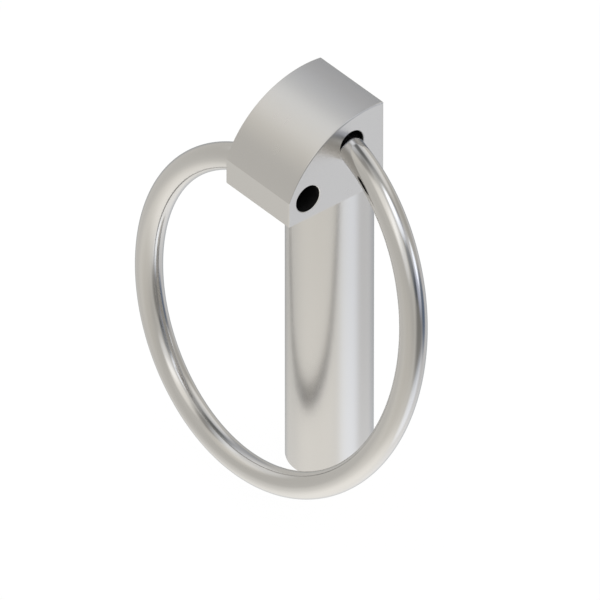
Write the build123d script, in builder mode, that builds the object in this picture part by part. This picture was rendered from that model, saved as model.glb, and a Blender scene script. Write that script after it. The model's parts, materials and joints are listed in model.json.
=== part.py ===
"""Linch pin: a round shank under a quarter-round head, with a spring ring in two offset cross holes.

Millimetres. +Z runs up the shank's axis, and Z = 0 is the flat shoulder under the head.
The head's nose points to -Y, and the cross holes run along X.
"""

from build123d import *
import os
from math import acos, cos, pi, radians, sin, sqrt

# Shank and head
shank_diameter = 11.0
shank_length = 43.6
head_width = 12.1
head_length = 15.1
head_height = 12.3
nose_reach = 11.5
nose_height = 3.7
crown_radius = 13.9
edge_break = 0.2

# Cross holes, each measured back from the nose and up from the shoulder
upper_hole_setback = 10.05
upper_hole_height = 8.15
lower_hole_setback = 3.05
lower_hole_height = 3.1
hole_rim_break = 0.2

# Spring ring
wire_diameter = 3.5
wire_clearance = 0.1
ring_inner_diameter = 45.4
ring_shift = 0.1
ring_setback = 3.5
ring_drop = 14.5
ring_tilt = 14.5
end_reach = 4.0
end_break = 0.3
bend_radius = 3.0
bend_gap = 0.2
run_slope = 31.0
right_leave_angle = 30.0
left_leave_angle = 52.0

os.makedirs("parts", exist_ok=True)


# The pin: head and shank forged and turned as one piece

nose_y = -nose_reach
hole_radius = wire_diameter / 2 + wire_clearance
upper_hole = (nose_y + upper_hole_setback, upper_hole_height)
lower_hole = (nose_y + lower_hole_setback, lower_hole_height)

# The crown is one arc, highest near the rear face, that comes down to the top of the flat nose
crown_z = head_height - crown_radius
crown_y = nose_y + sqrt(crown_radius**2 - (nose_height - crown_z) ** 2)

with BuildPart() as pin:
    with BuildSketch(Plane.YZ):
        with Locations((nose_y + head_length / 2, head_height / 2)):
            Rectangle(head_length, head_height)
        with Locations((crown_y, crown_z)):
            Circle(crown_radius, mode=Mode.INTERSECT)
    extrude(amount=head_width / 2, both=True)

    # Sharp edges are just broken all round, but the crease between nose and crown stays crisp
    long_edges = pin.edges().filter_by(Axis.X)
    crease = long_edges.sort_by_distance((0, nose_y, nose_height))[0]
    chamfer(pin.edges() - [crease], edge_break)

    with BuildSketch(Plane.XY):
        Circle(shank_diameter / 2)
    extrude(amount=-shank_length)
    tip_edge = pin.faces().sort_by(Axis.Z)[0].edges()
    chamfer(tip_edge, edge_break)

    # Both cross holes go right through, and the wire turns in them with a small clearance
    with BuildSketch(Plane.YZ):
        with Locations(upper_hole, lower_hole):
            Circle(hole_radius)
    extrude(amount=head_width, both=True, mode=Mode.SUBTRACT)
    hole_rims = pin.faces().filter_by(Axis.X).edges().filter_by(lambda edge: edge.is_closed)
    chamfer(hole_rims, hole_rim_break)

pin.part.label = "pin"
export_step(pin.part, "parts/pin.step")


# The ring: one length of round spring wire, bent as a hoop whose two ends turn in to the cross holes

wire_radius = wire_diameter / 2
ring_radius = (ring_inner_diameter + wire_diameter) / 2
tilt = radians(ring_tilt)
slope = radians(run_slope)
right_leave = radians(right_leave_angle)
left_leave = radians(left_leave_angle)

out_x = Vector(1, 0, 0)
ring_up = Vector(0, sin(tilt), cos(tilt))
ring_centre = Vector(ring_shift, nose_y + ring_setback, -ring_drop)
upper_axis_point = Vector(0, *upper_hole)
lower_axis_point = Vector(0, *lower_hole)
bend_start = head_width / 2 + bend_gap
end_tip = head_width / 2 - end_reach


def on_hoop(angle):
    """A point of the hoop's centreline, by its angle from +X towards the top."""
    return ring_centre + (out_x * cos(angle) + ring_up * sin(angle)) * ring_radius


def bend_end(start, end_direction, run_direction):
    """Where a bend of bend_radius ends, after it turns the wire from one direction into another."""
    turn = acos(end_direction.dot(run_direction))
    inward = (run_direction - end_direction * cos(turn)).normalized()
    return start + (end_direction * sin(turn) + inward * (1 - cos(turn))) * bend_radius


def arcs_meet(hoop_point, hoop_direction, bend_point, bend_direction):
    """Where the two arcs meet that cross from the hoop's plane to a hole's, both headed for the head.

    Their four tangents have one length, which closes the gap between the hoop and the bend, and the
    arcs meet halfway between the corners.
    """
    gap = bend_point - hoop_point
    gap_along = gap.dot(hoop_direction + bend_direction)
    turning = 2 - 2 * hoop_direction.dot(bend_direction)
    tangent_length = (sqrt(gap_along**2 + turning * gap.dot(gap)) - gap_along) / turning
    hoop_corner = hoop_point + hoop_direction * tangent_length
    bend_corner = bend_point - bend_direction * tangent_length
    return (hoop_corner + bend_corner) / 2


# Right side: straight out of the upper hole, round a bend and down on to the hoop by two arcs
right_tip = upper_axis_point + out_x * end_tip
right_bend_start = upper_axis_point + out_x * bend_start
right_run = out_x * cos(slope) - ring_up * sin(slope)
right_bend_end = bend_end(right_bend_start, out_x, right_run)
hoop_start = on_hoop(right_leave)
start_direction = ring_up * cos(right_leave) - out_x * sin(right_leave)
right_meeting = arcs_meet(hoop_start, start_direction, right_bend_end, -right_run)

# Left side: the same out of the lower hole, from further down the hoop
left_tip = lower_axis_point - out_x * end_tip
left_bend_start = lower_axis_point - out_x * bend_start
left_run = -out_x * cos(slope) - ring_up * sin(slope)
left_bend_end = bend_end(left_bend_start, -out_x, left_run)
hoop_end = on_hoop(left_leave - pi)
end_direction = ring_up * cos(left_leave) - out_x * sin(left_leave)
left_meeting = arcs_meet(hoop_end, end_direction, left_bend_end, -left_run)

hoop_bottom = on_hoop(-pi / 2)

with BuildPart() as ring:
    with BuildLine():
        Line(right_tip, right_bend_start)
        TangentArc(right_bend_start, right_bend_end, tangent=out_x)
        right_arc = TangentArc(right_bend_end, right_meeting, tangent=right_run)
        TangentArc(right_meeting, hoop_start, tangent=right_arc % 1)
        ThreePointArc(hoop_start, hoop_bottom, hoop_end)
        left_arc = TangentArc(hoop_end, left_meeting, tangent=end_direction)
        TangentArc(left_meeting, left_bend_end, tangent=left_arc % 1)
        TangentArc(left_bend_end, left_bend_start, tangent=-left_run)
        Line(left_bend_start, left_tip)
    with BuildSketch(Plane(origin=right_tip, z_dir=out_x)):
        Circle(wire_radius)
    sweep()
    cut_ends = ring.faces().filter_by(Axis.X)
    chamfer(cut_ends.edges(), end_break)

ring.part.label = "ring"
export_step(ring.part, "parts/ring.step")
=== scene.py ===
"""Linch pin with a spring ring: the looks, built round the part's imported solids.

Everything is in metres and in the part's own frame: +Z up the shank's axis, Z = 0 at the shoulder under
the head, the head's nose towards -Y and the cross holes along X.
"""

import json
from math import atan2, cos, pi, radians, sin, sqrt

import bmesh
import bpy
import numpy as np
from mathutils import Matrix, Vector


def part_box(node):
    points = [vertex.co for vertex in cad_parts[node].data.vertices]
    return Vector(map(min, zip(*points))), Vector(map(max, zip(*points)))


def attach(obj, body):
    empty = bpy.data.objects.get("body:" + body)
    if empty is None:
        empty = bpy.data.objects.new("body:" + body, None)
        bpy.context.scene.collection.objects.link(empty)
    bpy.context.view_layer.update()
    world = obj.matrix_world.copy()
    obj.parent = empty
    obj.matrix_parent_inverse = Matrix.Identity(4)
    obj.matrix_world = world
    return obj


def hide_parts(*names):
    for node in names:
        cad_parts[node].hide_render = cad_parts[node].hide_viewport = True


bl_info = {
    "name": "Linch Pin",
    "version": (1, 0, 0),
    "blender": (4, 5, 0),
    "location": "3D View > Sidebar > Linch Pin",
    "description": "Makes a linch pin with its spring ring, on a plain studio floor",
    "category": "Add Mesh",
}

MM = 0.001

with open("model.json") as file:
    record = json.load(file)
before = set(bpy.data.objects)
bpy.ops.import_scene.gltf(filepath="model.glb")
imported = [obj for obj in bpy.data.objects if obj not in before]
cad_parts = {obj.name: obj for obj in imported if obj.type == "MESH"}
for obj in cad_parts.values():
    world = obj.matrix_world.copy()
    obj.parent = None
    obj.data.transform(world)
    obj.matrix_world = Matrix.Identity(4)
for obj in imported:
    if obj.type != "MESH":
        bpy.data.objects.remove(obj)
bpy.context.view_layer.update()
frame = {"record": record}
pin_low, pin_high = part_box("pin")
shank_mount = next(mount for mount in frame["record"]["mounts"] if mount["name"] == "shank")

# How finely the surfaces are divided
CORNER_STEPS = 8
CROWN_STEPS = 120
BORE_COLUMNS = 128
SHANK_COLUMNS = 256
HOOP_STEPS = 1200
LEAD_STEPS = 600
END_STEPS = 160
TIP_STEPS = 6
WIRE_COLUMNS = 64
WIRE_STEP = 0.2 * MM
DISC_SIDES = 96

# Points that lie closer together than this are one point
MERGE = 0.0001 * MM

# Edges that turn by more than this stay sharp
PIN_SHARP_OVER = radians(35)
WIRE_SHARP_OVER = radians(60)

# How much large faces count in the pin's normals, the most that the modifier takes
LARGE_FACE_WEIGHT = 100


def length(name, millimetres, description):
    """A length property, given in millimetres and kept in metres."""
    return bpy.props.FloatProperty(
        name=name, description=description, default=millimetres * MM, unit="LENGTH", precision=5
    )


def angle(name, in_degrees, description):
    """An angle property, given in degrees and kept in radians."""
    return bpy.props.FloatProperty(
        name=name, description=description, default=radians(in_degrees), unit="ROTATION"
    )


def pixels(name, count, description):
    """A place in the photo, in pixels from its upper left corner."""
    return bpy.props.FloatProperty(name=name, description=description, default=count, subtype="PIXEL")


def colour(name, hex_value, description):
    """A colour property, given as an sRGB hex value such as 0xC8C6C2."""
    return bpy.props.FloatVectorProperty(
        name=name, description=description, default=linear(hex_value), subtype="COLOR", size=3, min=0, max=1
    )


def linear(hex_value):
    """Linear red, green and blue of an sRGB hex value, by the formula of the sRGB standard."""
    channels = np.array([hex_value >> 16 & 255, hex_value >> 8 & 255, hex_value & 255]) / 255
    low = channels / 12.92
    high = ((channels + 0.055) / 1.055) ** 2.4
    return tuple(float(value) for value in np.where(channels <= 0.04045, low, high))


def opaque(colour_value, share=1):
    """A colour for a node's socket, lighter or darker by the share and without transparency."""
    return (*(share * part for part in colour_value), 1)


class PinSizes(bpy.types.PropertyGroup):
    """Sizes of the head and the shank."""

    shank_radius: length("Shank radius", shank_mount["dims"]["r_mm"], "Radius of the shank")
    shank_entry: length("Shank entry", 0.02, "How far the shank's top enters the head, so that they join")
    head_length: length("Head length", 15.1, "Length of the head from its nose to its rear")
    nose_height: length("Nose height", 3.7, "Height of the flat at the head's nose")
    crown_radius: length("Crown radius", 13.9, "Radius of the arc from the nose to the top")
    edge: length("Edge", 0.18, "Rounding of the outer edges")
    crease: length("Crease", 0.3, "Rounding of the blunt crease between the nose and the crown")
    hole_radius: length("Hole radius", 1.85, "Radius of both cross holes")
    hole_rim: length("Hole rim", 0.08, "Width of the bright chamfer round the cross holes")
    upper_back: length("Upper hole, back", 10.05, "Upper hole's axis, measured back from the nose")
    upper_up: length("Upper hole, up", 8.1, "Upper hole's axis, measured up from the shoulder")
    lower_back: length("Lower hole, back", 3.05, "Lower hole's axis, measured back from the nose")
    lower_up: length("Lower hole, up", 3.05, "Lower hole's axis, measured up from the shoulder")


class RingSizes(bpy.types.PropertyGroup):
    """Sizes of the spring ring."""

    wire: length("Wire", 3.5, "Diameter of the wire")
    tip_edge: length("Cut ends", 0.3, "Rounding of the wire's cut ends")
    hoop_radius: length("Hoop radius", 24.48, "Radius of the hoop's centreline")
    shift: length("Shift", 0.06, "How far the hoop's centre stands to the right of the shank's axis")
    setback: length("Setback", 3.51, "How far the hoop's centre stands back from the nose")
    drop: length("Drop", 14.47, "How far the hoop's centre hangs below the shoulder")
    tilt: angle("Tilt", 14.5, "Lean of the hoop's foot towards the nose")
    right_sink: length("Right sink", 0.7, "How far under the upper hole's axis the wire leaves the head")
    left_sink: length("Left sink", 0.52, "How far under the lower hole's axis the wire leaves the head")
    reach: length("Reach", 4.0, "How far the wire's ends reach into the head")
    right_leave: angle("Right lead, start", 6.5, "Where the right lead leaves the hoop, above its side")
    right_pull: length("Right lead, pull", 10.0, "Length of the right lead's handle along the hoop")
    right_mouth_pull: length("Right mouth, pull", 10.5, "Length of the right lead's handle at the head")
    right_slope: angle("Right mouth, slope", 10.9, "Slope of the right lead where it meets the head")
    right_turn: angle("Right mouth, turn", 4.6, "How far the right lead comes in from the front at the head")
    left_leave: angle("Left lead, start", 63.0, "Where the left lead leaves the hoop, below its side")
    left_pull: length("Left lead, pull", 17.2, "Length of the left lead's handle along the hoop")
    left_mouth_pull: length("Left mouth, pull", 20.1, "Length of the left lead's handle at the head")
    left_slope: angle("Left mouth, slope", 20.9, "Slope of the left lead where it meets the head")
    left_turn: angle("Left mouth, turn", 1.8, "How far the left lead comes in from behind at the head")


class Finishes(bpy.types.PropertyGroup):
    """Colours of the metal and the floor."""

    pin_steel: colour("Pin steel", 0xCECDCC, "Satin-polished stainless steel of the pin")
    wire_steel: colour("Wire steel", 0xCECDCC, "Bright drawn stainless wire of the ring")
    # Painted highlight: the chamfer's colour is lighter than the steel's, on top of the light the real
    # chamfer catches
    rim_painted_highlight: colour("Fresh cut", 0xEBEBEA, "Bright chamfer that a countersink leaves round the holes")
    # Painted shade: near black, standing in for the shade deep inside the cross holes
    bore: colour("Bore", 0x0C0C0C, "Unlit, oily wall of the drilled holes")
    floor: colour("Floor", 0xFFFFFF, "Plain pale floor")


class StageSettings(bpy.types.PropertyGroup):
    """The camera and the light."""

    azimuth: angle("Azimuth", 50.26, "Camera's angle round the object, from the nose towards the right")
    elevation: angle("Elevation", 36.98, "Camera's height above the horizon")
    picture_width: length("Picture width", 73.39, "Width that the picture covers at the pin")
    lens: bpy.props.FloatProperty(
        name="Lens", description="Focal length, long enough to look parallel", default=1500, unit="CAMERA"
    )
    nose_u: pixels("Nose across", 288.95, "Pixel column of the nose's lower right corner")
    nose_v: pixels("Nose down", 228.5, "Pixel row of the nose's lower right corner")
    brightness: bpy.props.FloatProperty(
        name="Brightness", description="Brightness of the whole studio", default=1, min=0, subtype="FACTOR"
    )


def connect(tree, node, inputs):
    """Sets or links a node's inputs by name or number."""
    for key, value in inputs.items():
        if isinstance(value, bpy.types.NodeSocket):
            tree.links.new(value, node.inputs[key])
        else:
            node.inputs[key].default_value = value


def put(tree, kind, inputs=None, **settings):
    """Adds a node, sets its properties, and sets or links its inputs."""
    node = tree.nodes.new(kind)
    for name, value in settings.items():
        setattr(node, name, value)
    connect(tree, node, inputs or {})
    return node


def new_material(name):
    """A new material, its node tree and its Principled shader."""
    material = bpy.data.materials.new(name)
    material.use_nodes = True
    return material, material.node_tree, material.node_tree.nodes["Principled BSDF"]


def empty_tree(owner):
    """The node tree of a material or a world, with nothing in it."""
    owner.use_nodes = True
    owner.node_tree.nodes.clear()
    return owner.node_tree


# Each point's place on the wire as if the wire were straight, which the die lines follow
WIRE_PLACES = "along_wire"


def skin(name, points, wire_places=None):
    """A closed mesh over a grid of points, rows along a path and columns round it.

    Neighbouring rows and columns make four-sided faces, and the last column joins the first. A row that
    has shrunk to one point becomes a pole, and an end row that hasn't is closed by one flat face. Places
    on the wire, where they are given, are kept with the points for the wire's material.
    """
    rows, columns = points.shape[:2]
    row = np.arange(rows - 1)[:, None] * columns
    column = np.arange(columns)[None, :]
    after = (column + 1) % columns
    faces = np.stack([row + column, row + after, row + columns + after, row + columns + column], axis=-1)
    faces = faces.reshape(-1, 4).tolist()
    for end, order in ((0, 1), (rows - 1, -1)):
        if np.ptp(points[end], axis=0).max() > MERGE:
            faces.append(list(range(end * columns, (end + 1) * columns))[::order])
    mesh = bpy.data.meshes.new(name)
    mesh.from_pydata(points.reshape(-1, 3).tolist(), [], faces)
    if wire_places is not None:
        layer = mesh.attributes.new(WIRE_PLACES, "FLOAT_VECTOR", "POINT")
        layer.data.foreach_set("vector", wire_places.reshape(-1))
    weld(mesh)
    piece = bpy.data.objects.new(name, mesh)
    bpy.context.scene.collection.objects.link(piece)
    return piece


def weld(mesh):
    """Merges points that lie together and turns all faces outwards."""
    work = bmesh.new()
    work.from_mesh(mesh)
    bmesh.ops.remove_doubles(work, verts=work.verts, dist=MERGE)
    bmesh.ops.recalc_face_normals(work, faces=work.faces)
    work.to_mesh(mesh)
    work.free()


def combine(piece, tool, operation):
    """Joins the tool's solid to the piece, or cuts it away, and removes the tool with its mesh."""
    modifier = piece.modifiers.new(operation.title(), "BOOLEAN")
    modifier.operation = operation
    modifier.solver = "EXACT"
    modifier.object = tool
    graph = bpy.context.evaluated_depsgraph_get()
    before = piece.data
    made = bpy.data.meshes.new_from_object(piece.evaluated_get(graph))
    piece.modifiers.clear()
    piece.data = made
    made.name = piece.name
    bpy.data.meshes.remove(before)
    bpy.data.meshes.remove(tool.data)


def smooth(piece, sharp_over):
    """Shades the piece smooth, but keeps edges that turn by more than the given angle."""
    piece.data.shade_smooth()
    piece.data.set_sharp_from_angle(angle=sharp_over)


def arc(centre, radius, start, end, steps):
    """Points of an arc: the centre plus the radius times the cosine and sine of evenly spaced angles."""
    turn = np.linspace(start, end, steps + 1)[:, None]
    return np.asarray(centre) + radius * np.hstack([np.cos(turn), np.sin(turn)])


def cubic(start, first_handle, last_handle, end, steps):
    """Points of a cubic curve: its ends and handles weighted by the four terms of (1 - t) + t, cubed."""
    t = np.linspace(0, 1, steps + 1)[:, None]
    near_start = (1 - t) ** 3 * start + 3 * (1 - t) ** 2 * t * first_handle
    near_end = 3 * (1 - t) * t**2 * last_handle + t**3 * end
    return near_start + near_end


def turned(profile, columns):
    """A grid round Z: each (radius, height) of the profile times the cosine and sine of the turn."""
    turn = np.linspace(0, 2 * pi, columns, endpoint=False)
    radius, height = profile[:, :1], profile[:, 1:]
    heights = np.repeat(height, columns, axis=1)
    return np.stack([radius * np.cos(turn), radius * np.sin(turn), heights], axis=-1)


def head_arcs(sizes):
    """The head's outline in the YZ plane, as arcs of (centre, radius, first angle, last angle, steps).

    The crown is one arc through the top of the nose. Each corner is a small arc whose centre lies one
    rounding inside both of its neighbours. Straight sides need no points of their own.
    """
    nose, rear, top = pin_low.y, pin_low.y + sizes.head_length, pin_high.z
    crown_z = top - sizes.crown_radius
    crown_y = nose + sqrt(sizes.crown_radius**2 - (sizes.nose_height - crown_z) ** 2)
    edge, crease = sizes.edge, sizes.crease
    top_y = rear - edge
    top_z = crown_z + sqrt((sizes.crown_radius - edge) ** 2 - (top_y - crown_y) ** 2)
    fold_y = nose + crease
    fold_z = crown_z + sqrt((sizes.crown_radius - crease) ** 2 - (fold_y - crown_y) ** 2)
    crown_first = atan2(top_z - crown_z, top_y - crown_y)
    crown_last = atan2(fold_z - crown_z, fold_y - crown_y)
    return [
        ((rear - edge, edge), edge, -pi / 2, 0, CORNER_STEPS),
        ((top_y, top_z), edge, 0, crown_first, CORNER_STEPS),
        ((crown_y, crown_z), sizes.crown_radius, crown_first, crown_last, CROWN_STEPS),
        ((fold_y, fold_z), crease, crown_last, pi, CORNER_STEPS),
        ((nose + edge, edge), edge, pi, 1.5 * pi, CORNER_STEPS),
    ]


def make_head(sizes):
    """The head: its outline carried along X, and drawn in towards each side as the edge rounds over.

    At an angle turned round the edge, the outline stands in by the edge's radius times one less the
    cosine, and goes out along X by that radius times the sine.
    """
    half, edge = pin_high.x, sizes.edge
    turn = np.linspace(0, pi / 2, CORNER_STEPS + 1)
    across = half - edge + edge * np.sin(turn)
    inset = edge * (1 - np.cos(turn))
    x = np.concatenate([-across[::-1], across])
    inset = np.concatenate([inset[::-1], inset])
    rows = []
    for place, drawn_in in zip(x, inset):
        outline = np.vstack([
            arc(centre, max(radius - drawn_in, 0), first, last, steps)
            for centre, radius, first, last, steps in head_arcs(sizes)
        ])
        rows.append(np.column_stack([np.full(len(outline), place), outline]))
    return skin("pin_body", np.stack(rows))


def make_shank(sizes):
    """The shank: a turned rod with rounded ends, whose top just enters the head."""
    edge, radius, entry = sizes.edge, sizes.shank_radius, sizes.shank_entry
    profile = np.vstack([
        (0, pin_low.z),
        arc((radius - edge, pin_low.z + edge), edge, -pi / 2, 0, CORNER_STEPS),
        arc((radius - edge, entry - edge), edge, 0, pi / 2, CORNER_STEPS),
        (0, entry),
    ])
    return skin("shank", turned(profile, SHANK_COLUMNS))


def make_bore(sizes, centre):
    """The tool that cuts one cross hole: a rod turned round Z and then laid along X.

    Near each side of the head it flares by 45 degrees, which leaves a chamfer round the hole.
    """
    half, rim, radius = pin_high.x, sizes.hole_rim, sizes.hole_radius
    right = np.array([(radius, half - rim), (radius + 2 * rim, half + rim), (0, half + rim)])
    upright = turned(np.vstack([right[::-1] * (1, -1), right]), BORE_COLUMNS)
    laid = np.stack([upright[..., 2], upright[..., 0] + centre[0], upright[..., 1] + centre[1]], axis=-1)
    return skin("bore", laid)


def hole_axes(sizes):
    """Where the upper and the lower cross hole pierce the YZ plane."""
    upper = (pin_low.y + sizes.upper_back, sizes.upper_up)
    lower = (pin_low.y + sizes.lower_back, sizes.lower_up)
    return upper, lower


def ring_line(sizes, pin_sizes):
    """The ring's centreline, from the right end in the upper hole to the left end in the lower one.

    The hoop is a circle in a tilted plane. On each side a cubic curve leaves it tangentially and meets
    the head's side at the hole, and a short one inside the head brings the end on to the hole's axis.
    """
    upper, lower = (np.array([0.0, *axis]) for axis in hole_axes(pin_sizes))
    half = pin_high.x
    out = np.array([1.0, 0.0, 0.0])
    up = np.array([0.0, sin(sizes.tilt), cos(sizes.tilt)])
    front = np.array([0.0, -cos(sizes.tilt), sin(sizes.tilt)])
    centre = np.array([sizes.shift, pin_low.y + sizes.setback, -sizes.drop])
    turn = np.linspace(sizes.right_leave, sizes.left_leave - pi, HOOP_STEPS + 1)[:, None]
    hoop = centre + sizes.hoop_radius * (out * np.cos(turn) + up * np.sin(turn))

    def off_hoop(leave):
        """Direction in which a lead leaves the hoop, towards the head."""
        return up * cos(leave) - out * sin(leave)

    def way_in(side, slope, turn_to_front):
        """Direction into the head, sloping up and turned towards the front."""
        flat = up * sin(slope) - out * side * cos(slope)
        return flat * cos(turn_to_front) + front * sin(turn_to_front)

    def lead(side, axis, sink, start, start_handle, mouth_way, mouth_pull):
        """The wire from the hoop to its end, as a long curve outside the head and a short one inside.

        The short one's handles are a third of the wire's reach into the head.
        """
        mouth = axis + out * side * half - up * sink
        tip = axis + out * side * (half - sizes.reach)
        pull = sizes.reach / 3
        outside = cubic(start, start + start_handle, mouth - mouth_way * mouth_pull, mouth, LEAD_STEPS)
        inside = cubic(mouth, mouth + mouth_way * pull, tip + out * side * pull, tip, END_STEPS)
        return np.vstack([outside, inside[1:]])

    right_handle = off_hoop(sizes.right_leave) * sizes.right_pull
    left_handle = off_hoop(sizes.left_leave) * sizes.left_pull
    right_in = way_in(1, sizes.right_slope, -sizes.right_turn)
    left_in = way_in(-1, sizes.left_slope, sizes.left_turn)
    right = lead(1, upper, sizes.right_sink, hoop[0], right_handle, right_in, sizes.right_mouth_pull)
    left = lead(-1, lower, sizes.left_sink, hoop[-1], left_handle, left_in, sizes.left_mouth_pull)
    return np.vstack([right[::-1], hoop[1:-1], left]), front


def make_wire(sizes, pin_sizes):
    """The ring: a circle of the wire's radius carried along the centreline, square to it everywhere.

    The circle's first direction is square to both the line and the hoop's front, and its second is
    square to the line and the first. Each end is flat with a rounded edge.
    """
    line, front = ring_line(sizes, pin_sizes)
    travelled = np.concatenate([[0], np.cumsum(np.linalg.norm(np.diff(line, axis=0), axis=1))])
    total, radius, edge = travelled[-1], sizes.wire / 2, sizes.tip_edge
    tip = arc((edge, radius - edge), edge, pi, pi / 2, TIP_STEPS)
    middle = np.linspace(edge, total - edge, round(total / WIRE_STEP))[1:-1]
    along = np.concatenate([[0], tip[:, 0], middle, total - tip[::-1, 0], [total]])
    wide = np.concatenate([[0], tip[:, 1], np.full(len(middle), radius), tip[::-1, 1], [0]])
    centre = np.column_stack([np.interp(along, travelled, line[:, axis]) for axis in range(3)])
    slopes = np.gradient(line, travelled, axis=0)
    way = np.column_stack([np.interp(along, travelled, slopes[:, axis]) for axis in range(3)])
    way /= np.linalg.norm(way, axis=1, keepdims=True)
    side = np.cross(way, front)
    side /= np.linalg.norm(side, axis=1, keepdims=True)
    face = np.cross(side, way)
    turn = np.linspace(0, 2 * pi, WIRE_COLUMNS, endpoint=False)[None, :]
    first, second = wide[:, None] * np.cos(turn), wide[:, None] * np.sin(turn)
    around = first[..., None] * side[:, None, :] + second[..., None] * face[:, None, :]
    straight = np.stack([first, second, np.broadcast_to(along[:, None], first.shape)], axis=-1)
    return skin("ring_wire", centre[:, None, :] + around, straight)


# Lines that a fine belt leaves on the pin, and how many times as coarse they are drawn, so that they show
POLISH_LINE = 0.03 * MM
POLISH_COARSER = 9
POLISH_STROKE = 25 * MM
POLISH_DEPTH = 0.0003 * MM

# Lines that the die leaves on the wire, and how many times as coarse they are drawn, so that they show
DIE_LINE = 0.05 * MM
DIE_COARSER = 5
DIE_STROKE = 12 * MM
DIE_DEPTH = 0.0003 * MM

# Clouds in the gloss of both steels, and their share in the pin's marks beside its polish lines
CLOUD = 5 * MM
CLOUD_SHARE = 0.6

# The countersink's chatter marks and the drill's rings
CHATTER = 0.5 * MM
DRILL_RING = 0.3 * MM

# Roughness of each finish, from its glossiest to its dullest spots
PIN_ROUGHNESS = (0.245, 0.275)
WIRE_ROUGHNESS = (0.1, 0.15)
CHAMFER_ROUGHNESS = (0.35, 0.55)
BORE_ROUGHNESS = (0.45, 0.75)

# Shares of its own colour that a material has in its darkest and in its lightest spots
STEEL_TONES = (0.985, 1.015)
BORE_TONES = (0.5, 1.5)

# Nearly all values of a noise texture lie between these two
NOISE_LOW = 0.3
NOISE_HIGH = 0.7

# Sockets of the Mix node, which go by number, as each kind of data has its own under the same names
VECTOR_A, VECTOR_B, VECTOR_RESULT = 4, 5, 1
COLOUR_A, COLOUR_B, COLOUR_RESULT = 6, 7, 2


def lay_steel(tree, shader, steel, tone_marks, gloss_marks, roughness, lines, depth):
    """What both steels share: tone and gloss vary a little with their marks, and the lines stand up."""
    dark, light = (opaque(steel, share) for share in STEEL_TONES)
    glossiest, dullest = roughness
    tone = put(
        tree, "ShaderNodeMix", {"Factor": tone_marks, COLOUR_A: dark, COLOUR_B: light}, data_type="RGBA"
    ).outputs[COLOUR_RESULT]
    gloss = put(
        tree, "ShaderNodeMapRange",
        {"Value": gloss_marks, "From Min": NOISE_LOW, "From Max": NOISE_HIGH,
         "To Min": glossiest, "To Max": dullest},
    ).outputs[0]
    bump = put(tree, "ShaderNodeBump", {"Strength": 1.0, "Distance": depth, "Height": lines}).outputs[0]
    connect(tree, shader, {"Base Color": tone, "Metallic": 1, "Roughness": gloss, "Normal": bump})


def steel_of_the_pin(finishes):
    """Austenitic stainless steel, turned and then polished on a fine belt.

    To the eye it is a calm, silky grey that mirrors only broad patches of light. Faint polishing lines run
    over the head from back to front and round the shank, and the gloss clouds a little from place to place.
    """
    material, tree, shader = new_material("satin_polished_stainless")
    place = put(tree, "ShaderNodeTexCoord").outputs["Object"]
    height = put(tree, "ShaderNodeSeparateXYZ", {0: place}).outputs["Z"]
    on_shank = put(tree, "ShaderNodeMath", {0: height, 1: 0.0}, operation="LESS_THAN").outputs[0]
    across, along = 1 / (POLISH_LINE * POLISH_COARSER), 1 / POLISH_STROKE
    scale = put(
        tree, "ShaderNodeMix",
        {"Factor": on_shank, VECTOR_A: (across, along, along), VECTOR_B: (along, along, across)},
        data_type="VECTOR",
    ).outputs[VECTOR_RESULT]
    drawn_out = put(tree, "ShaderNodeVectorMath", {0: place, 1: scale}, operation="MULTIPLY").outputs[0]
    lines = put(tree, "ShaderNodeTexNoise", {"Vector": drawn_out, "Scale": 1.0, "Detail": 2.0}).outputs[0]
    clouds = put(
        tree, "ShaderNodeTexNoise", {"Vector": place, "Scale": 1 / CLOUD, "Detail": 2.0}
    ).outputs[0]
    marks = put(tree, "ShaderNodeMix", {"Factor": CLOUD_SHARE, "A": lines, "B": clouds}).outputs[0]
    lay_steel(tree, shader, finishes.pin_steel, marks, marks, PIN_ROUGHNESS, lines, POLISH_DEPTH)
    return material


def steel_of_the_wire(finishes):
    """Stainless spring wire, drawn bright through a die.

    To the eye it is glossier than the pin: narrow bright and dark streaks follow the wire all the way round,
    with faint die lines along it.
    """
    material, tree, shader = new_material("bright_drawn_stainless_wire")
    place = put(tree, "ShaderNodeAttribute", attribute_name=WIRE_PLACES).outputs["Vector"]
    across, along = 1 / (DIE_LINE * DIE_COARSER), 1 / DIE_STROKE
    drawn_out = put(
        tree, "ShaderNodeVectorMath", {0: place, 1: (across, across, along)}, operation="MULTIPLY"
    ).outputs[0]
    lines = put(tree, "ShaderNodeTexNoise", {"Vector": drawn_out, "Scale": 1.0, "Detail": 2.0}).outputs[0]
    clouds = put(
        tree, "ShaderNodeTexNoise", {"Vector": place, "Scale": 1 / CLOUD, "Detail": 2.0}
    ).outputs[0]
    lay_steel(tree, shader, finishes.wire_steel, lines, clouds, WIRE_ROUGHNESS, lines, DIE_DEPTH)
    return material


def chamfer_painted_highlight(finishes):
    """Stainless countersunk chamfer, coloured lighter than the pin as a painted highlight: a thin light
    outline round each hole.
    """
    material, tree, shader = new_material("countersunk_stainless")
    glossiest, dullest = CHAMFER_ROUGHNESS
    place = put(tree, "ShaderNodeTexCoord").outputs["Object"]
    chatter = put(
        tree, "ShaderNodeTexNoise", {"Vector": place, "Scale": 1 / CHATTER, "Detail": 1.0}
    ).outputs[0]
    gloss = put(
        tree, "ShaderNodeMapRange", {"Value": chatter, "To Min": glossiest, "To Max": dullest}
    ).outputs[0]
    connect(tree, shader, {"Base Color": opaque(finishes.rim_painted_highlight), "Metallic": 1, "Roughness": gloss})
    return material


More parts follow.
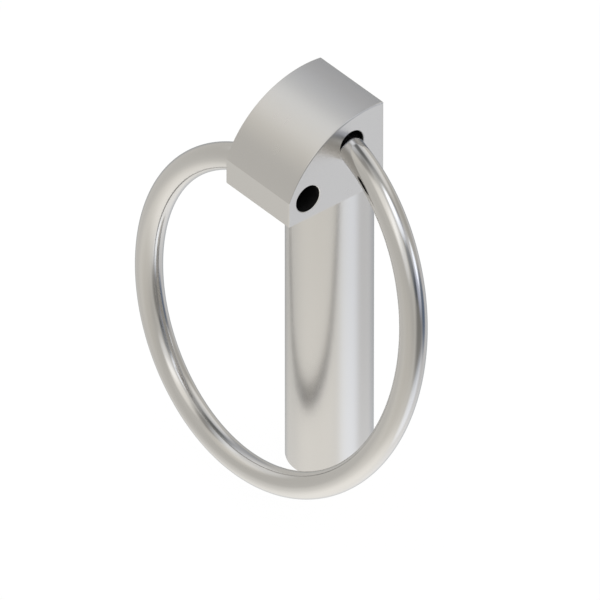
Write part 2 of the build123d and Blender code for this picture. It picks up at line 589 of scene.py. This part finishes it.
def bore_wall_painted_shade(finishes):
    """Drilled steel, coloured near black as painted shade: it looks black from outside, with faint rings
    from the drill.
    """
    material, tree, shader = new_material("bore_painted_black_shade")
    dark, light = (opaque(finishes.bore, share) for share in BORE_TONES)
    glossiest, dullest = BORE_ROUGHNESS
    place = put(tree, "ShaderNodeTexCoord").outputs["Object"]
    depth = put(
        tree, "ShaderNodeVectorMath", {0: place, 1: (1 / DRILL_RING, 0, 0)}, operation="MULTIPLY"
    ).outputs[0]
    rings = put(tree, "ShaderNodeTexNoise", {"Vector": depth, "Scale": 1.0, "Detail": 1.0}).outputs[0]
    tone = put(
        tree, "ShaderNodeMix", {"Factor": rings, COLOUR_A: dark, COLOUR_B: light}, data_type="RGBA"
    ).outputs[COLOUR_RESULT]
    gloss = put(
        tree, "ShaderNodeMapRange", {"Value": rings, "To Min": glossiest, "To Max": dullest}
    ).outputs[0]
    connect(tree, shader, {"Base Color": tone, "Roughness": gloss})
    return material


# The pin's materials, in the order of their slots
PIN_MATERIALS = [steel_of_the_pin, bore_wall_painted_shade, chamfer_painted_highlight]


def mark_holes(mesh, sizes):
    """Gives the bores' walls and their chamfers their own materials, by the place of each face's centre.

    A wall or a chamfer lies within the chamfer's outer radius of a hole's axis, and deeper than the
    head's flat side. A chamfer lies no deeper under that side than it is wide.
    """
    centres = np.empty(len(mesh.polygons) * 3)
    mesh.polygons.foreach_get("center", centres)
    x, y, z = centres.reshape(-1, 3).T
    from_axis = np.min([np.hypot(y - back, z - up) for back, up in hole_axes(sizes)], axis=0)
    depth = pin_high.x - np.abs(x)
    in_hole = (from_axis < sizes.hole_radius + sizes.hole_rim) & (depth > MERGE)
    steel, wall, chamfer = range(len(PIN_MATERIALS))
    slots = np.where(in_hole, np.where(depth < sizes.hole_rim, chamfer, wall), steel)
    mesh.polygons.foreach_set("material_index", slots.astype(np.int32))


class LINCHPIN_OT_pin(bpy.types.Operator):
    """Make the pin: the head with its two cross holes, and the shank"""

    bl_idname = "linchpin.pin"
    bl_label = "Pin"

    def execute(self, context):
        sizes = context.scene.linch_pin
        piece = make_head(sizes)
        combine(piece, make_shank(sizes), "UNION")
        for centre in hole_axes(sizes):
            combine(piece, make_bore(sizes, centre), "DIFFERENCE")
        weld(piece.data)
        smooth(piece, PIN_SHARP_OVER)
        normals = piece.modifiers.new("Weighted normals", "WEIGHTED_NORMAL")
        normals.keep_sharp = True
        normals.weight = LARGE_FACE_WEIGHT
        piece.data.materials.clear()
        for make_material in PIN_MATERIALS:
            piece.data.materials.append(make_material(context.scene.linch_finishes))
        mark_holes(piece.data, sizes)
        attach(piece, "pin")
        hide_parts("pin")
        return {"FINISHED"}


class LINCHPIN_OT_ring(bpy.types.Operator):
    """Make the spring ring, with its ends in the two cross holes"""

    bl_idname = "linchpin.ring"
    bl_label = "Ring"

    def execute(self, context):
        piece = make_wire(context.scene.linch_ring, context.scene.linch_pin)
        smooth(piece, WIRE_SHARP_OVER)
        piece.data.materials.append(steel_of_the_wire(context.scene.linch_finishes))
        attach(piece, "ring")
        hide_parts("ring")
        return {"FINISHED"}


# Width and height of the photo
PICTURE_PIXELS = 600

# Where the camera starts and stops seeing, as shares of its distance
CLIP_NEAR = 0.1
CLIP_FAR = 2

# The floor's radius and its own glow, and how much of its look comes from the light on it
FLOOR_RADIUS = 1500 * MM
FLOOR_GLOW = 1.02
FLOOR_LIT_SHARE = 0.05

# The pool of light, just under the floor
POOL_MIDDLE = (10 * MM, -9 * MM)
POOL_RADIUS = 50 * MM
POOL_DROP = 0.1 * MM
POOL_STRENGTH = 0.15

# Tints of the studio's lights, from warm to cool
CREAM = 0xFFF5E2
IVORY = 0xFDFAF3
WHITE = 0xFFFFFF
PEARL = 0xF4F8FF
SKY = 0xE4EEFF
BLUE = 0xC4D4FF

# The room's even light, and each soft light in it: what it is, the azimuth and elevation it comes from, the
# angles from its middle where it starts and stops to fade, its strength and its tint. A black card keeps
# light away, so its strength is negative.
ROOM = (0.7, IVORY)
STUDIO_LIGHTS = [
    ("white floor", 0, -90, 30, 100, 0.12, WHITE),
    ("table under the pin", 0, -90, 10, 60, 0.25, IVORY),
    ("table in front", 15, -35, 0, 60, 0.13, CREAM),
    ("table at the right", 102, -38, 0, 28, 0.42, SKY),
    ("left wall", -88, 45, 8, 34, 0.29, PEARL),
    ("left wall's top", -80, 63, 0, 16, 0.25, PEARL),
    ("left wall's middle", -52, 40, 0, 22, 0.15, CREAM),
    ("wall in front", 10, 30, 5, 40, 0.05, IVORY),
    ("softbox in front", 18, 58, 8, 26, 0.42, IVORY),
    ("softbox over the camera", 45, 47, 8, 24, 0.35, PEARL),
    ("softbox overhead", 80, 75, 8, 26, 0.1, PEARL),
    ("softbox at the right", 115, 62, 10, 20, 0.8, SKY),
    ("middle of the right softbox", 124, 67, 0, 14, 0.5, WHITE),
    ("window", 136, 19, 6, 13, 0.95, SKY),
    ("glow beside the window", 120, 15, 0, 20, 0.4, BLUE),
    ("glow over the window", 128, 40, 0, 16, 0.15, BLUE),
    ("panel behind", -168, 39, 8, 24, 0.35, WHITE),
    ("shade along the front", 25, 1, 10, 48, -0.08, WHITE),
    ("black card at the right", 98, 0, 8, 36, -0.42, IVORY),
    ("black card under the right softbox", 96, 34, 5, 22, -0.35, CREAM),
    ("black card over the window", 142, 51, 3, 14, -0.25, IVORY),
    ("black card under the window", 140, -8, 4, 22, -0.55, CREAM),
    ("black card behind the pin", -135, -37, 10, 45, -0.33, CREAM),
    ("cool wall behind", -132, 34, 0, 30, 0.08, BLUE),
    ("cool table behind", 150, -37, 5, 60, 0.1, BLUE),
    ("shade on that table", 140, -37, 5, 50, -0.07, CREAM),
    ("black card behind, high", -140, 60, 5, 36, -0.25, CREAM),
    ("dark middle of that card", -135, 64, 4, 18, -0.25, WHITE),
    ("shade behind", 168, 10, 5, 28, -0.14, WHITE),
    ("black card behind, low", -136, 19, 3, 18, -0.24, CREAM),
    ("black card over the left wall", -50, 70, 2, 18, -0.3, IVORY),
]


def direction(azimuth, elevation):
    """The unit vector at an angle round from the nose towards the right side, and at a height."""
    return Vector((sin(azimuth) * cos(elevation), -cos(azimuth) * cos(elevation), sin(elevation)))


def set_camera(scene, settings):
    """A camera with so long a lens that it looks almost parallel, aimed by the nose's lower right corner.

    The picture's centre lies as far from that corner, across and down, as it does in pixels, times
    the width of a pixel at the pin.
    """
    back = direction(settings.azimuth, settings.elevation)
    right = Vector((cos(settings.azimuth), sin(settings.azimuth), 0))
    up = back.cross(right)
    pixel = settings.picture_width / PICTURE_PIXELS
    corner = Vector((pin_high.x, pin_low.y, 0))
    middle = PICTURE_PIXELS / 2
    aim = corner + right * (middle - settings.nose_u) * pixel - up * (middle - settings.nose_v) * pixel
    data = bpy.data.cameras.new("camera")
    data.lens = settings.lens
    distance = settings.picture_width * settings.lens / data.sensor_width
    data.clip_start = distance * CLIP_NEAR
    data.clip_end = distance * CLIP_FAR
    camera = bpy.data.objects.new("camera", data)
    camera.location = aim + back * distance
    camera.rotation_mode = "QUATERNION"
    camera.rotation_quaternion = (-back).to_track_quat("-Z", "Y")
    scene.collection.objects.link(camera)
    scene.camera = camera


def lay_disc(name, radius, height, material):
    """A flat round sheet, whose rim is the radius times the cosine and sine of evenly spaced turns."""
    turn = np.linspace(0, 2 * pi, DISC_SIDES, endpoint=False)
    rim = np.column_stack([radius * np.cos(turn), radius * np.sin(turn), np.full(DISC_SIDES, height)])
    mesh = bpy.data.meshes.new(name)
    mesh.from_pydata(rim.tolist(), [], [list(range(DISC_SIDES))])
    mesh.materials.append(material)
    disc = bpy.data.objects.new(name, mesh)
    bpy.context.scene.collection.objects.link(disc)
    return disc


def set_floor(finishes):
    """A white paper sweep under the pin, bright enough to fade into the background.

    Nearly all of its look is its own glow. A little comes from the studio's light, so that it takes a
    faint shadow. The metal doesn't mirror it, and mirrors the white floor among the studio's lights.
    """
    material = bpy.data.materials.new("white_paper_sweep")
    tree = empty_tree(material)
    glow = put(tree, "ShaderNodeEmission", {"Color": opaque(finishes.floor), "Strength": FLOOR_GLOW})
    matt = put(tree, "ShaderNodeBsdfDiffuse", {"Color": opaque(finishes.floor)})
    both = put(tree, "ShaderNodeMixShader", {0: FLOOR_LIT_SHARE, 1: glow.outputs[0], 2: matt.outputs[0]})
    put(tree, "ShaderNodeOutputMaterial", {"Surface": both.outputs[0]})
    floor = lay_disc("floor", FLOOR_RADIUS, pin_low.z, material)
    floor.visible_glossy = False


def set_bounce(finishes):
    """A pool of light on the floor before the pin's foot, which only the metal sees and the camera doesn't.

    It is added to the studio's light: full at its middle, and less by a smooth step of the distance from it.
    """
    height = pin_low.z - POOL_DROP
    material = bpy.data.materials.new("bounced_light")
    tree = empty_tree(material)
    place = put(tree, "ShaderNodeTexCoord").outputs["Object"]
    away = put(
        tree, "ShaderNodeVectorMath", {0: place, 1: (*POOL_MIDDLE, height)}, operation="DISTANCE"
    ).outputs["Value"]
    strength = put(
        tree, "ShaderNodeMapRange",
        {"Value": away, "From Min": 0, "From Max": POOL_RADIUS, "To Min": POOL_STRENGTH, "To Max": 0},
        interpolation_type="SMOOTHSTEP",
    ).outputs[0]
    clear = put(tree, "ShaderNodeBsdfTransparent")
    glow = put(tree, "ShaderNodeEmission", {"Color": opaque(finishes.floor), "Strength": strength})
    both = put(tree, "ShaderNodeAddShader", {0: clear.outputs[0], 1: glow.outputs[0]})
    put(tree, "ShaderNodeOutputMaterial", {"Surface": both.outputs[0]})
    pool = lay_disc("pool_of_light", 2 * POOL_RADIUS, height, material)
    pool.visible_camera = False


def set_light(scene, brightness):
    """A white studio with big soft lights and a few black cards, all far away.

    Seen along a direction, a light has its strength times a smooth step of the cosine between that
    direction and its own, which is nothing outside its edge and full inside its core. They all add up.
    The camera itself sees plain white behind the pin.
    """
    scene.world = bpy.data.worlds.new("studio")
    tree = empty_tree(scene.world)
    ahead = put(tree, "ShaderNodeTexCoord").outputs["Generated"]
    room_strength, room_tint = ROOM
    total = tuple(room_strength * part for part in linear(room_tint))
    for name, azimuth, elevation, core, edge, strength, tint in STUDIO_LIGHTS:
        toward = direction(radians(azimuth), radians(elevation))
        facing = put(
            tree, "ShaderNodeVectorMath", {0: ahead, 1: toward}, operation="DOT_PRODUCT"
        ).outputs["Value"]
        at_edge, at_core = cos(radians(edge)), cos(radians(core))
        faded = put(
            tree, "ShaderNodeMapRange",
            {"Value": facing, "From Min": at_edge, "From Max": at_core, "To Max": strength},
            interpolation_type="SMOOTHSTEP",
        ).outputs[0]
        total = put(
            tree, "ShaderNodeVectorMath", {0: linear(tint), 1: faded, 2: total},
            operation="MULTIPLY_ADD", label=name,
        ).outputs[0]
    lit = put(tree, "ShaderNodeVectorMath", {0: total, 1: (0, 0, 0)}, operation="MAXIMUM").outputs[0]
    studio = put(tree, "ShaderNodeBackground", {"Color": lit, "Strength": brightness})
    backdrop = put(tree, "ShaderNodeBackground", {"Color": opaque(linear(WHITE))})
    seen = put(tree, "ShaderNodeLightPath").outputs["Is Camera Ray"]
    both = put(tree, "ShaderNodeMixShader", {0: seen, 1: studio.outputs[0], 2: backdrop.outputs[0]})
    put(tree, "ShaderNodeOutputWorld", {"Surface": both.outputs[0]})


class LINCHPIN_OT_stage(bpy.types.Operator):
    """Set up the floor, the light and the camera"""

    bl_idname = "linchpin.stage"
    bl_label = "Stage"

    def execute(self, context):
        settings, finishes = context.scene.linch_stage, context.scene.linch_finishes
        set_camera(context.scene, settings)
        set_floor(finishes)
        set_bounce(finishes)
        set_light(context.scene, settings.brightness)
        context.scene.view_settings.view_transform = "Standard"
        return {"FINISHED"}


GROUPS = {
    "linch_pin": PinSizes,
    "linch_ring": RingSizes,
    "linch_finishes": Finishes,
    "linch_stage": StageSettings,
}
OPERATORS = [LINCHPIN_OT_pin, LINCHPIN_OT_ring, LINCHPIN_OT_stage]


class LINCHPIN_PT_panel(bpy.types.Panel):
    """Lists the pieces that can be made, and their settings"""

    bl_label = "Linch Pin"
    bl_space_type = "VIEW_3D"
    bl_region_type = "UI"
    bl_category = "Linch Pin"

    def draw(self, context):
        for operator in OPERATORS:
            self.layout.operator(operator.bl_idname)
        for name, group in GROUPS.items():
            box = self.layout.box()
            for setting in group.__annotations__:
                box.prop(getattr(context.scene, name), setting)


def register():
    """Registers the property groups, the operators and the panel."""
    for name, group in GROUPS.items():
        bpy.utils.register_class(group)
        setattr(bpy.types.Scene, name, bpy.props.PointerProperty(type=group))
    for operator in OPERATORS:
        bpy.utils.register_class(operator)
    bpy.utils.register_class(LINCHPIN_PT_panel)


def unregister():
    """Removes what register added."""
    bpy.utils.unregister_class(LINCHPIN_PT_panel)
    for operator in OPERATORS:
        bpy.utils.unregister_class(operator)
    for name, group in GROUPS.items():
        delattr(bpy.types.Scene, name)
        bpy.utils.unregister_class(group)


def main():
    """Makes every piece and the stage."""
    register()
    bpy.ops.linchpin.pin()
    bpy.ops.linchpin.ring()
    bpy.ops.linchpin.stage()


if __name__ == "__main__":
    main()
